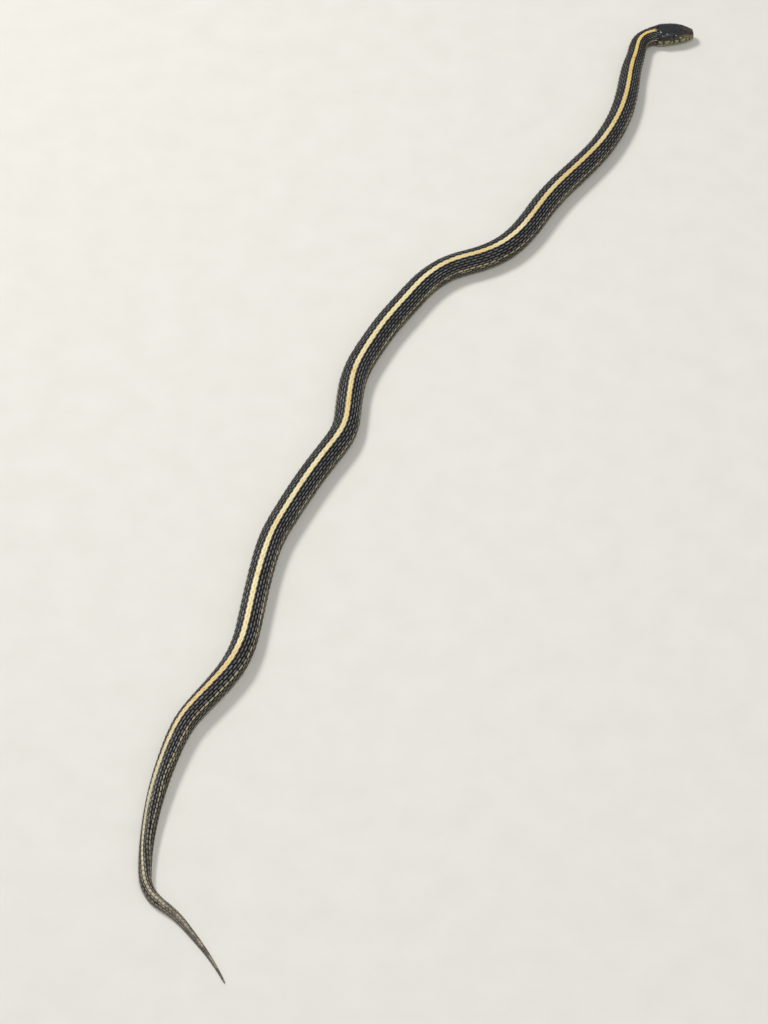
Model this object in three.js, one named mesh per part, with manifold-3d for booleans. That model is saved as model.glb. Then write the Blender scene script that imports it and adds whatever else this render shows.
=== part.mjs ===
// A garter snake at life size, a still model. It lies on its belly in loose bends.
// Millimetres, +Z up. The floor is Z = 0 and the origin is below the middle of the snake's outline.
// The head points to +X, and the body comes down towards -Y from it.
import * as THREE from "three";
import Module from "manifold-3d";
import { mergeVertices } from "three/addons/utils/BufferGeometryUtils.js";

// Where the named lengths end, measured along the middle of the body from the tip of the snout.
const HEAD_END = 23;
const NECK_END = 66;
const TRUNK_ENDS = [130, 192, 254, 320, 384, 450, 512, 576];
const TAIL_BASE_END = 614;
const TAIL_MIDDLE_END = 648;
const SNAKE_LENGTH = 681;

// The gap that each length keeps to the next one.
const GAP = 0.3;

// The bends of the body: how far from the snout, and which way the body runs there towards the tail.
// Directions are in degrees, 180 is -X and 270 is -Y. The body turns evenly from one row to the next.
const BENDS = [
  [0, 185],
  [24, 185],
  [34, 272],
  [44, 248],
  [56, 262],
  [75, 258],
  [95, 247],
  [108, 242],
  [122, 233],
  [145, 230],
  [175, 242],
  [192, 234],
  [210, 211],
  [225, 195],
  [240, 219],
  [258, 237],
  [275, 235],
  [292, 242],
  [310, 245],
  [330, 264],
  [350, 266],
  [360, 241],
  [372, 238],
  [395, 243],
  [420, 245],
  [435, 257],
  [455, 261],
  [480, 262],
  [492, 254],
  [510, 235],
  [530, 232],
  [545, 251],
  [565, 256],
  [590, 263],
  [612, 270],
  [622, 276],
  [631, 325],
  [639, 325],
  [646, 305],
  [656, 309],
  [664, 304],
  [SNAKE_LENGTH, 296],
];
// How far each bend is eased into the next one.
const BEND_EASE = 6;

// The girth: how far from the snout, half of the width, and the height of the back above the belly.
const GIRTH = [
  [14, 5.2, 8.4],
  [26, 4.7, 7.9],
  [36, 4.7, 7.9],
  [50, 5.3, 8.6],
  [75, 6, 9.4],
  [115, 6.2, 10],
  [150, 6.5, 10.2],
  [320, 6.5, 10.4],
  [400, 6.3, 10.5],
  [450, 5.8, 10.4],
  [500, 5.8, 10.4],
  [545, 4.9, 9.4],
  [572, 4.2, 8.2],
  [600, 3.2, 6.4],
  [628, 2.6, 5],
  [645, 1.8, 3.5],
  [660, 1.2, 2.4],
  [672, 0.7, 1.5],
  [SNAKE_LENGTH, 0.35, 0.8],
];
const GIRTH_EASE = 5;

// The section of the body: the middle of its height, and how far the flat of the belly cuts it off.
const SECTION_MIDDLE = 0.46;
const BELLY_FULLNESS = 1.25;
const SECTION_SIDES = 20;
const TRUNK_RING_STEP = 4.8;
const BENT_RING_STEP = 2.6;

// The neck and the head are held a little above the floor.
const HEAD_LIFT = 0.4;
const LIFT_STARTS = 92;
const LIFT_ENDS = 24;

// The head: how far from the snout, half of its width, and the heights of its top, its lips and its
// chin above the underside of the head.
const HEAD_PROFILE = [
  [0, 1.5, 4.9, 2.5, 1.7],
  [0.5, 2.3, 5.6, 2.4, 1.05],
  [1.8, 3, 6.3, 2.25, 0.65],
  [3.6, 3.6, 7.2, 2.15, 0.4],
  [6.5, 4.4, 8.5, 2, 0.2],
  [10.2, 5.15, 8.9, 2, 0.1],
  [14, 5.9, 8.9, 2.4, 0.05],
  [18, 6.2, 8.5, 2.7, 0],
  [20.5, 5.8, 8.2, 2.8, 0],
  [HEAD_END, 5.1, 7.9, 2.9, 0],
];
const HEAD_RING_STEP = 1.1;
const HEAD_SIDES = 16;
// How boxy the top of the head is: 1 is an ellipse, and smaller is boxier.
const CROWN_POWER = 0.6;
const JAW_POWER = 0.8;
const JAW_INSET = 0.2;
// The lower jaw starts behind the overhang of the snout.
const JAW_START = 0.7;

// The eyes.
const EYE_FROM_SNOUT = 10.4;
const EYE_RADIUS = 1.7;
const EYE_SIDE = 3.6;
const EYE_HEIGHT = 6.0;
const EYE_SIDES = 16;
const EYE_RINGS = 10;

const BACK = { color: 0x2b2b2d, roughness: 0.5, metalness: 0 };
const HEAD_TOP = { color: 0x26282c, roughness: 0.35, metalness: 0 };
const JAW = { color: 0xb9b08a, roughness: 0.5, metalness: 0 };
const EYE = { color: 0x15120e, roughness: 0.08, metalness: 0 };

// The value of one column of a table of [distance, value, ...] rows at a distance.
function read(table, distance, column) {
  const last = table.length - 1;
  if (distance <= table[0][0]) return table[0][column];
  if (distance >= table[last][0]) return table[last][column];
  const next = table.findIndex((row) => row[0] > distance);
  const [before, after] = [table[next - 1], table[next]];
  const share = (distance - before[0]) / (after[0] - before[0]);
  return before[column] + share * (after[column] - before[column]);
}

// The same value, eased over a reach before and behind.
function readEased(table, distance, column, reach) {
  const shares = [-1, -0.5, 0, 0.5, 1];
  const values = shares.map((share) => read(table, distance + share * reach, column));
  return values.reduce((sum, value) => sum + value, 0) / values.length;
}

function smoothstep(from, to, value) {
  const share = Math.min(Math.max((value - from) / (to - from), 0), 1);
  return share * share * (3 - 2 * share);
}

// The middle line of the body on the floor, walked from the snout in small steps.
const WALK_STEP = 0.5;
const middleLine = [new THREE.Vector2(0, 0)];
for (let walked = 0; walked < SNAKE_LENGTH; walked += WALK_STEP) {
  const direction = directionAt(walked + WALK_STEP / 2);
  const lastPoint = middleLine[middleLine.length - 1];
  middleLine.push(lastPoint.clone().addScaledVector(direction, WALK_STEP));
}

function directionAt(distance) {
  const angle = THREE.MathUtils.degToRad(readEased(BENDS, distance, 1, BEND_EASE));
  return new THREE.Vector2(Math.cos(angle), Math.sin(angle));
}

function middleAt(distance) {
  const steps = Math.min(distance / WALK_STEP, middleLine.length - 1);
  const whole = Math.min(Math.floor(steps), middleLine.length - 2);
  return middleLine[whole].clone().lerp(middleLine[whole + 1], steps - whole);
}

function liftAt(distance) {
  return HEAD_LIFT * (1 - smoothstep(LIFT_ENDS, LIFT_STARTS, distance));
}

function halfWidthAt(distance) {
  return readEased(GIRTH, distance, 1, GIRTH_EASE);
}

// The snake's right-hand side, seen from above with its head ahead.
function acrossAt(distance) {
  const direction = directionAt(distance);
  return new THREE.Vector2(-direction.y, direction.x);
}

// A point of the model from its distance behind the snout, its place to the right and its height.
function place(distance, right, height) {
  const foot = middleAt(distance).addScaledVector(acrossAt(distance), right);
  return new THREE.Vector3(foot.x, foot.y, height + liftAt(distance));
}

// A closed body through rings of points. Its two ends are flat.
function loft(rings) {
  const sides = rings[0].length;
  const points = rings.flat();
  const firstMiddle = points.length;
  points.push(middleOf(rings[0]));
  points.push(middleOf(rings[rings.length - 1]));
  const triangles = [];
  for (let side = 0; side < sides; side += 1) {
    const next = (side + 1) % sides;
    const lastRing = (rings.length - 1) * sides;
    triangles.push(firstMiddle, side, next);
    triangles.push(firstMiddle + 1, lastRing + next, lastRing + side);
    for (let start = 0; start < lastRing; start += sides) {
      triangles.push(start + side, start + sides + next, start + next);
      triangles.push(start + side, start + sides + side, start + sides + next);
    }
  }
  const geometry = new THREE.BufferGeometry().setFromPoints(points);
  geometry.setIndex(triangles);
  geometry.computeVertexNormals();
  return geometry;
}

function middleOf(ring) {
  const sum = new THREE.Vector3();
  ring.forEach((point) => sum.add(point));
  return sum.divideScalar(ring.length);
}

// Evenly spaced distances from one to another, at most a step apart.
function stations(from, to, step) {
  const count = Math.ceil((to - from) / step);
  return Array.from({ length: count + 1 }, (_, index) => from + ((to - from) * index) / count);
}

// The ring of the body at a distance: round over the back, and flat under the belly.
function bodyRing(distance) {
  const halfWidth = halfWidthAt(distance);
  const height = readEased(GIRTH, distance, 2, GIRTH_EASE);
  const middle = SECTION_MIDDLE * height;
  return Array.from({ length: SECTION_SIDES }, (_, side) => {
    const angle = (2 * Math.PI * side) / SECTION_SIDES;
    const rise = Math.cos(angle);
    const reach = rise > 0 ? height - middle : middle * BELLY_FULLNESS;
    return place(distance, halfWidth * Math.sin(angle), Math.max(middle + reach * rise, 0));
  });
}

// A length of the body between two distances, with half of the gap left at each end.
function bodyLength(from, to, ringStep) {
  const start = from + GAP / 2;
  const end = to === SNAKE_LENGTH ? to : to - GAP / 2;
  return loft(stations(start, end, ringStep).map(bodyRing));
}

function power(value, exponent) {
  return Math.sign(value) * Math.abs(value) ** exponent;
}

// An arch over the lips or below them: from the left lip round to the right one, and flat between.
function archRing(distance, halfWidth, lipHeight, crownHeight, exponent) {
  const ring = Array.from({ length: HEAD_SIDES + 1 }, (_, side) => {
    const angle = Math.PI * (1 - side / HEAD_SIDES);
    const right = halfWidth * power(Math.cos(angle), exponent);
    const height = lipHeight + (crownHeight - lipHeight) * power(Math.sin(angle), exponent);
    return place(distance, right, height);
  });
  ring.push(place(distance, halfWidth / 2, lipHeight));
  ring.push(place(distance, -halfWidth / 2, lipHeight));
  return ring;
}

function upperHead() {
  const rings = stations(0, HEAD_END - GAP / 2, HEAD_RING_STEP).map((at) => {
    const lips = read(HEAD_PROFILE, at, 3) + GAP / 2;
    return archRing(at, read(HEAD_PROFILE, at, 1), lips, read(HEAD_PROFILE, at, 2), CROWN_POWER);
  });
  return loft(rings);
}

function lowerJaw() {
  const rings = stations(JAW_START, HEAD_END - GAP / 2, HEAD_RING_STEP).map((at) => {
    const lips = read(HEAD_PROFILE, at, 3) - GAP / 2;
    const halfWidth = read(HEAD_PROFILE, at, 1) - JAW_INSET;
    return archRing(at, halfWidth, lips, read(HEAD_PROFILE, at, 4), JAW_POWER).reverse();
  });
  return loft(rings);
}

const wasm = await Module();
wasm.setup();

// A three.js geometry as a solid that can be joined and cut, and back again.
function toSolid(geometry) {
  const bare = geometry.clone();
  bare.deleteAttribute("normal");
  bare.deleteAttribute("uv");
  const merged = mergeVertices(bare, 1e-4);
  const vertProperties = merged.getAttribute("position").array;
  const triVerts = new Uint32Array(merged.index.array);
  return new wasm.Manifold(new wasm.Mesh({ numProp: 3, vertProperties, triVerts }));
}

function toGeometry(solid) {
  const mesh = solid.getMesh();
  const geometry = new THREE.BufferGeometry();
  geometry.setAttribute("position", new THREE.BufferAttribute(mesh.vertProperties, 3));
  geometry.setIndex(new THREE.BufferAttribute(mesh.triVerts, 1));
  return geometry;
}

// An eyeball of a radius, its poles to the left and right, where the eye looks.
function eyeball(radius) {
  return new THREE.SphereGeometry(radius, EYE_SIDES, EYE_RINGS).rotateX(Math.PI / 2);
}

// The upper head with a socket on each side, a gap wider than the eyeball in it.
function headWithSockets() {
  let head = toSolid(upperHead());
  [-EYE_SIDE, EYE_SIDE].forEach((right) => {
    const centre = place(EYE_FROM_SNOUT, right, EYE_HEIGHT);
    const socket = eyeball(EYE_RADIUS + GAP).translate(centre.x, centre.y, centre.z);
    head = head.subtract(toSolid(socket));
  });
  return toGeometry(head);
}

const snake = new THREE.Group();

function add(name, geometry, look) {
  const mesh = new THREE.Mesh(geometry, new THREE.MeshStandardMaterial(look));
  mesh.name = name;
  snake.add(mesh);
  return mesh;
}

add("head", headWithSockets(), HEAD_TOP);
add("lower_jaw", lowerJaw(), JAW);
add("eye_right", eyeball(EYE_RADIUS), EYE).position.copy(place(EYE_FROM_SNOUT, EYE_SIDE, EYE_HEIGHT));
add("eye_left", eyeball(EYE_RADIUS), EYE).position.copy(place(EYE_FROM_SNOUT, -EYE_SIDE, EYE_HEIGHT));
add("neck", bodyLength(HEAD_END, NECK_END, BENT_RING_STEP), BACK);
TRUNK_ENDS.forEach((end, index) => {
  const start = index === 0 ? NECK_END : TRUNK_ENDS[index - 1];
  add(`trunk_${index + 1}`, bodyLength(start, end, TRUNK_RING_STEP), BACK);
});
const trunkEnd = TRUNK_ENDS[TRUNK_ENDS.length - 1];
add("tail_base", bodyLength(trunkEnd, TAIL_BASE_END, TRUNK_RING_STEP), BACK);
add("tail_middle", bodyLength(TAIL_BASE_END, TAIL_MIDDLE_END, BENT_RING_STEP), BACK);
add("tail_end", bodyLength(TAIL_MIDDLE_END, SNAKE_LENGTH, BENT_RING_STEP), BACK);

// The origin goes below the middle of the snake's outline.
snake.updateMatrixWorld(true);
const outline = new THREE.Box3().setFromObject(snake, true);
const middle = outline.getCenter(new THREE.Vector3()).setZ(0);
snake.children.forEach((mesh) => mesh.position.sub(middle));

export default snake;
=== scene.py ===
# %% [markdown]
# # A garter snake, life size
# The snake lies still on its belly in loose bends. The solids of the model give its outline, and
# this file gives it its looks: one skin, thousands of keeled scales over it, the shields of the
# head, the wide scutes of the belly, and the eyes.
# The snake is modelled straight, as a person would do it at a bench, and every finished piece is
# then laid along the bends by one function.

# %% The frame and the tools
import math

import bpy
import numpy as np
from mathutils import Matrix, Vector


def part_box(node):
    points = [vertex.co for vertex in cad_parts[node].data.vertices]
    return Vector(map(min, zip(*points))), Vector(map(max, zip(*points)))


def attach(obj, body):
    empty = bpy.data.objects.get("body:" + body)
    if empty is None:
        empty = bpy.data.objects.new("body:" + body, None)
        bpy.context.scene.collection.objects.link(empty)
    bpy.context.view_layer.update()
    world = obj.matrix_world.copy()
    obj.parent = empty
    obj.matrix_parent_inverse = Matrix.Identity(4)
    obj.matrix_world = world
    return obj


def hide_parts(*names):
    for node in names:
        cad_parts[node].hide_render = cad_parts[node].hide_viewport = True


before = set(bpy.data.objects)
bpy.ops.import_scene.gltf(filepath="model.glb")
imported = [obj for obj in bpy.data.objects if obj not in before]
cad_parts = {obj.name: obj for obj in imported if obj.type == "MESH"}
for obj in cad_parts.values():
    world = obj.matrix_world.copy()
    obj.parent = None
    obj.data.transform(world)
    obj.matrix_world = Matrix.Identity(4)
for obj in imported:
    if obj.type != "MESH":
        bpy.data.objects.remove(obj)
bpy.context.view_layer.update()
MM = 0.001

# %% [markdown]
# ## The camera and the studio
# The picture is taken from 52 degrees above the floor with a long lens, so the body keeps nearly
# the same scale from head to tail. A long lens far away is what flattens it, and a short one
# close by would make the tail look far too big.

# %% The camera
CAMERA_TARGET = (-0.03064, -0.03897, 0.0)
CAMERA_RISE = math.radians(52)
CAMERA_DISTANCE = 1.3615
CAMERA_LENS = 101.95
back_off = CAMERA_DISTANCE * math.cos(CAMERA_RISE)
camera_height = CAMERA_DISTANCE * math.sin(CAMERA_RISE)
camera_place = (CAMERA_TARGET[0], CAMERA_TARGET[1] - back_off, camera_height)
bpy.ops.object.camera_add(location=camera_place, rotation=(math.pi / 2 - CAMERA_RISE, 0, 0))
camera = bpy.context.object
camera.data.lens = CAMERA_LENS
camera.data.sensor_width = 36
bpy.context.scene.camera = camera
print("camera at", [round(value, 3) for value in camera_place])

# %% [markdown]
# ## Small helpers for materials
# Colours are written as they look on a screen, and turned to the linear numbers that Blender
# mixes. One function adds a node with its settings and links, so that a material reads as a list
# of what is mixed into what.


# %% Colours and nodes
def colour(code):
    """A screen colour such as 8A7F5B as linear red, green, blue and 1."""
    parts = [int(code[start : start + 2], 16) / 255 for start in (0, 2, 4)]
    linear = [p / 12.92 if p <= 0.04045 else ((p + 0.055) / 1.055) ** 2.4 for p in parts]
    return (*linear, 1.0)


def fill(tree, node, sockets):
    """Gives each socket of a node a value, or links another node's output to it."""
    for socket, value in sockets.items():
        if isinstance(value, bpy.types.NodeSocket):
            tree.links.new(value, node.inputs[socket])
        else:
            node.inputs[socket].default_value = value


def add_node(tree, kind, sockets=None, **settings):
    """Adds a node with its settings, its values and its links."""
    made = tree.nodes.new(kind)
    for name, value in settings.items():
        setattr(made, name, value)
    fill(tree, made, sockets or {})
    return made


def new_material(name):
    material = bpy.data.materials.new(name)
    material.use_nodes = True
    material.node_tree.nodes.clear()
    return material, material.node_tree


def maths(tree, operation, first, second=0.0, third=0.0):
    """One sum of two or three numbers or outputs."""
    sockets = {0: first, 1: second, 2: third}
    return add_node(tree, "ShaderNodeMath", sockets, operation=operation).outputs[0]


def plus(tree, first, second):
    return maths(tree, "ADD", first, second)


def times(tree, first, second):
    return maths(tree, "MULTIPLY", first, second)


def ramp(tree, value, start, end, low=0.0, high=1.0):
    """A smooth step of a value from start to end, from low to high."""
    sockets = {"Value": value, "From Min": start, "From Max": end, "To Min": low, "To Max": high}
    made = add_node(tree, "ShaderNodeMapRange", sockets, interpolation_type="SMOOTHSTEP")
    return made.outputs["Result"]


def mix(tree, share, first, second):
    """A share of the second colour in the first. Each is a colour's code or an output."""
    first, second = (colour(each) if isinstance(each, str) else each for each in (first, second))
    made = add_node(tree, "ShaderNodeMix", {0: share, 6: first, 7: second}, data_type="RGBA")
    return made.outputs[2]


def coats(tree, base, *layers):
    """Lays colours over a base, each where a value steps from start to end as in a ramp."""
    for code, *step in layers:
        base = mix(tree, ramp(tree, *step), base, code)
    return base


def noise(tree, where, scale, detail=3.0):
    sockets = {"Vector": where, "Scale": scale, "Detail": detail}
    return add_node(tree, "ShaderNodeTexNoise", sockets).outputs["Fac"]


def object_place(tree):
    return add_node(tree, "ShaderNodeTexCoord").outputs["Object"]


def finish_material(tree, base, roughness, ior, bump=None, depth=0.0, **others):
    """The shader at the end of each material. Further sockets are given by name."""
    sockets = {"Base Color": base, "Roughness": roughness, "IOR": ior}
    sockets |= {name.replace("_", " "): value for name, value in others.items()}
    shader = add_node(tree, "ShaderNodeBsdfPrincipled", sockets)
    if bump is not None:
        bumps = {"Height": bump, "Distance": depth, "Strength": 1.0}
        relief = add_node(tree, "ShaderNodeBump", bumps)
        fill(tree, shader, {"Normal": relief.outputs["Normal"]})
    add_node(tree, "ShaderNodeOutputMaterial", {"Surface": shader.outputs[0]})


# %% [markdown]
# ## Floor and light
# The floor is plain and pale, such as matt painted board. The main lamp stands behind and to the
# left, where the sun stood, and is small enough to leave a shadow with a soft edge. A very small
# one in front puts glints on the head's shields and the eye, and a large weak one opens the
# shadows. Size and place decide what a lamp draws, and power only how bright it is.

# %% The floor and the lamps
FLOOR_SIDE = 8.0
bpy.ops.mesh.primitive_plane_add(size=FLOOR_SIDE, location=(0, 0, 0))
floor = bpy.context.object
floor.name = "floor"
matt_board, board = new_material("matt_painted_board")
board_grain = noise(board, object_place(board), 60.0)
finish_material(board, mix(board, board_grain, "D9D5CB", "E2DED5"), 0.85, 1.45)
floor.data.materials.append(matt_board)


def add_lamp(place, size, power, aim=(-0.02, -0.02, 0)):
    """A square soft lamp at a place, turned to the snake."""
    bpy.ops.object.light_add(type="AREA", location=place)
    lamp = bpy.context.object
    lamp.data.size = size
    lamp.data.energy = power
    away = np.subtract(place, aim)
    flat = math.hypot(away[0], away[1])
    turn = math.atan2(away[1], away[0]) + math.pi / 2
    lamp.rotation_euler = (math.atan2(flat, away[2]), 0, turn)


LAMPS = {
    "main": ((-0.9, 0.9, 1.5), 0.42, 25),
    "glints": ((0.15, -0.55, 1.6), 0.12, 8),
    "fill": ((0.8, -1.2, 1.4), 1.6, 4),
}
for place, size, power in LAMPS.values():
    add_lamp(place, size, power)
world = bpy.data.worlds.new("studio")
bpy.context.scene.world = world
world.use_nodes = True
sky = world.node_tree.nodes["Background"]
fill(world.node_tree, sky, {"Color": colour("DDE2E8"), "Strength": 0.43})
bpy.context.scene.view_settings.view_transform = "Standard"
print("floor and", len(LAMPS), "lamps")

# %% [markdown]
# ## The line that the body follows
# The solids were laid along a middle line that is walked from the snout in half millimetre steps,
# each in the direction that the bends give. The same walk is made here, and it is set in place by
# the two eyes, whose solids lie on either side of it. The bends are the same numbers as in the
# solids' script. Up to 590 mm they come from programs that fitted the line to the stripe in the
# photo, and were rounded and edited afterwards. The rest were listed and tried.

# %% The middle line
HEAD_END = 23.0
SNAKE_LENGTH = 681.0
BENDS = np.array(
    [
        (0, 185), (24, 185), (34, 272), (44, 248), (56, 262), (75, 258), (95, 247),
        (108, 242), (122, 233), (145, 230), (175, 242), (192, 234), (210, 211),
        (225, 195), (240, 219), (258, 237), (275, 235), (292, 242), (310, 245),
        (330, 264), (350, 266), (360, 241), (372, 238), (395, 243), (420, 245),
        (435, 257), (455, 261), (480, 262), (492, 254), (510, 235), (530, 232),
        (545, 251), (565, 256), (590, 263), (612, 270), (622, 276), (631, 325),
        (639, 325), (646, 305), (656, 309), (664, 304), (SNAKE_LENGTH, 296),
    ],
    float,
)
BEND_EASE = 6
GIRTH = np.array(
    [
        (14, 5.2, 8.4), (26, 4.7, 7.9), (36, 4.7, 7.9), (50, 5.3, 8.6), (75, 6.0, 9.4),
        (115, 6.2, 10.0), (150, 6.5, 10.2), (320, 6.5, 10.4), (400, 6.3, 10.5),
        (450, 5.8, 10.4), (500, 5.8, 10.4), (545, 4.9, 9.4), (572, 4.2, 8.2),
        (600, 3.2, 6.4), (628, 2.6, 5.0), (645, 1.8, 3.5), (660, 1.2, 2.4),
        (672, 0.7, 1.5), (SNAKE_LENGTH, 0.35, 0.8),
    ],
    float,
)
GIRTH_EASE = 5
HEAD_LIFT, LIFT_ENDS, LIFT_STARTS = 0.4, 24, 92
WALK_STEP = 0.5


def eased(table, distance, column, reach):
    """A column of a table, read at five places around a distance."""
    taps = [
        np.interp(distance + share * reach, table[:, 0], table[:, column])
        for share in (-1, -0.5, 0, 0.5, 1)
    ]
    return sum(taps) / len(taps)


def smoothstep(start, end, value):
    share = np.clip((value - start) / (end - start), 0, 1)
    return share * share * (3 - 2 * share)


def heading(distance):
    return np.radians(eased(BENDS, distance, 1, BEND_EASE))


walked = np.arange(0, SNAKE_LENGTH + WALK_STEP, WALK_STEP)
step_headings = heading(walked[:-1] + WALK_STEP / 2)
steps = WALK_STEP * np.stack([np.cos(step_headings), np.sin(step_headings)], 1)
line = np.concatenate([[(0, 0)], np.cumsum(steps, 0)])

EYE_FROM_SNOUT, EYE_SIDE, EYE_HEIGHT = 10.4, 3.6, 6.0
EYE_RADIUS, EYE_OPENING = 1.7, 1.5
eye_centres = {side: np.mean(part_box(f"eye_{side}"), 0) / MM for side in ("right", "left")}
between_eyes = (eye_centres["right"] + eye_centres["left"])[:2] / 2
line_there = [np.interp(EYE_FROM_SNOUT, walked, line[:, axis]) for axis in (0, 1)]
line_shift = between_eyes - line_there


def lay(points):
    """Points of the straight snake, in millimetres, on the bent one, in metres.

    A point is its distance behind the snout, its place to the right and its height."""
    distance, right, height = np.moveaxis(np.asarray(points, float), -1, 0)
    turn = heading(distance)
    lift = HEAD_LIFT * (1 - smoothstep(LIFT_ENDS, LIFT_STARTS, distance))
    x = np.interp(distance, walked, line[:, 0]) + line_shift[0] - right * np.sin(turn)
    y = np.interp(distance, walked, line[:, 1]) + line_shift[1] + right * np.cos(turn)
    return np.stack([x, y, height + lift], -1) * MM


print("snout", lay([0, 0, 2]), "tail tip", lay([SNAKE_LENGTH, 0, 0]))

# %% [markdown]
# ## The form of the body and the head
# Every section of the snake is one closed outline, from the middle of the back down the side to
# the middle of the belly. The body is round above and flat below. The head is a boxy arch over
# the lips, with a narrower jaw below them. Each outline is read by its share of the girth, so
# that a row of scales keeps to one share all the way down the body.

# %% The sections
HEAD_PROFILE = np.array(
    [
        (0, 1.5, 4.9, 2.5, 1.7), (0.5, 2.3, 5.6, 2.4, 1.05), (1.8, 3.0, 6.3, 2.25, 0.65),
        (3.6, 3.6, 7.2, 2.15, 0.4), (6.5, 4.4, 8.5, 2.0, 0.2), (10.2, 5.15, 8.9, 2.0, 0.1),
        (14.0, 5.9, 8.9, 2.4, 0.05), (18.0, 6.2, 8.5, 2.7, 0), (20.5, 5.8, 8.2, 2.8, 0),
        (HEAD_END, 5.1, 7.9, 2.9, 0),
    ],
    float,
)
PROFILE_EASE = 0.6
CROWN_POWER, JAW_POWER, JAW_INSET = 0.6, 0.8, 0.2
SECTION_MIDDLE, BELLY_FULLNESS = 0.46, 1.25
SNOUT_DOME, TAIL_DOME = 1.2, 1.6
JAW_SETBACK = 0.6
MOUTH_GAP, LIPS_ON_NECK = 0.12, 0.3
NAPE_STARTS, NAPE_ENDS = 18.0, 27.0
MOUTH_FADES, MOUTH_ENDS = 18.2, 20.6
HALF_POINTS = 200
arc_shares = np.linspace(0, 0.5, HALF_POINTS + 1)


def by_arc(outline):
    """An outline at even shares of its length, and the share at each of its own points."""
    lengths = np.hypot(*np.diff(outline, axis=0).T)
    shares = np.concatenate([[0], np.cumsum(lengths)])
    shares *= 0.5 / shares[-1]
    return np.stack([np.interp(arc_shares, shares, part) for part in outline.T], 1), shares


def head_outline(distance):
    """The head's section from the crown to the chin, and the lips' share of its girth."""
    half, crown, lips, chin = (
        eased(HEAD_PROFILE, distance, column, PROFILE_EASE) for column in (1, 2, 3, 4)
    )
    turn = np.linspace(np.pi / 2, 0, 61)
    cosine, sine = np.cos(turn).clip(0), np.sin(turn)
    mouth = 1 - smoothstep(MOUTH_FADES, MOUTH_ENDS, distance)
    jaw_half, jaw_top = half - JAW_INSET * mouth, lips - MOUTH_GAP * mouth
    upper, lower = (
        np.stack([wide * cosine**power, top + (end - top) * sine**power], 1)
        for wide, top, end, power in (
            (half, lips, crown, CROWN_POWER), (jaw_half, jaw_top, chin, JAW_POWER)
        )
    )
    lower = lower[::-1][1:] if mouth == 0 else lower[::-1]
    outline, shares = by_arc(np.concatenate([upper, lower]))
    return outline, shares[len(upper) - 1]


def body_outline(distance):
    half = eased(GIRTH, distance, 1, GIRTH_EASE)
    height = eased(GIRTH, distance, 2, GIRTH_EASE)
    middle = SECTION_MIDDLE * height
    turn = np.linspace(0, np.pi, 121)
    reach = np.where(np.cos(turn) > 0, height - middle, middle * BELLY_FULLNESS)
    heights = np.maximum(middle + reach * np.cos(turn), 0)
    outline = np.stack([half * np.sin(turn), heights], 1)
    return by_arc(outline)[0]


def section(distance):
    """The outline at a distance, the head's blended into the body's over the nape."""
    nape = smoothstep(NAPE_STARTS, NAPE_ENDS, distance)
    if nape == 1:
        return body_outline(distance), LIPS_ON_NECK
    head, lips = head_outline(distance)
    return (head if nape == 0 else (1 - nape) * head + nape * body_outline(distance)), lips


# %% [markdown]
# ## The folds of the head
# The boxy arch alone is a loaf. A snake's head has a socket that the eye sits in, a brow over it,
# a shallow hollow between the eye and the nostril, and full cheeks over the jaw muscles. Each of
# these is a smooth push of the surface, as a sculptor's thumb would make it.


# %% Socket, brow, hollow and cheeks
def bell(value, middle, spread):
    return np.exp(-(((value - middle) / spread) ** 2))


LIP_HEIGHT = 2.8
SOCKET_REACH, SOCKET_EASE, LID_LAP = 4.2, 0.12, 0.1
BALL_AT_RIM = math.sqrt(EYE_RADIUS**2 - EYE_OPENING**2)


def fold_head(distance, outline):
    """Moves one section's points for the folds of the head.

    The socket is a limit on how far out the skin goes. It is eased in by a soft minimum, since a
    hard one would leave a step round the eye."""
    right, height = outline[:, 0].copy(), outline[:, 1].copy()
    side = smoothstep(1.8, 3.0, right)
    above = height > LIP_HEIGHT
    brow = smoothstep(7.0, 8.8, distance) * (1 - smoothstep(12.2, 14.0, distance))
    right += side * above * 0.3 * brow * bell(height, 7.75, 0.5)
    right -= side * 0.3 * bell(distance, 6.4, 1.6) * bell(height, 4.6, 1.1)
    right += side * 0.22 * bell(distance, 16.6, 2.8) * bell(height, 4.6, 1.7)
    right -= side * above * 0.16 * bell(distance, 14.6, 1.6) * bell(height, 6.6, 0.9)
    height -= above * 0.18 * bell(right, 0, 1.4) * bell(distance, 9.6, 3.4)
    chin = smoothstep(1.7, 3.4, distance) * (1 - smoothstep(11.5, 15.0, distance))
    height += (height < 1.4) * 0.16 * bell(right, 0, 0.4) * chin
    off_eye = np.hypot(distance - EYE_FROM_SNOUT, height - EYE_HEIGHT)
    ball = np.sqrt(np.clip(EYE_RADIUS**2 - off_eye**2, 0.04, None))
    off_rim = off_eye - EYE_OPENING
    slope = BALL_AT_RIM + 0.02 + 0.55 * off_rim + 0.3 * off_rim**2
    limit = EYE_SIDE + np.where(off_rim < 0, ball - LID_LAP, slope)
    over = np.clip((right - limit) / SOCKET_EASE, -30, 30)
    sunk = right - SOCKET_EASE * np.log1p(np.exp(over))
    right = np.where(above & (off_eye < SOCKET_REACH), sunk, right)
    return np.stack([right, height], 1)


# %% [markdown]
# ## The surface as a table
# The outlines are stacked from the tip of the snout to the tip of the tail. The snout and the tail
# tip close in a small dome. The table holds the outer surface, which the tips of the scales reach,
# and its outward direction, and any point is then found by its distance from the snout, its share
# of the girth and its depth.


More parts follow.
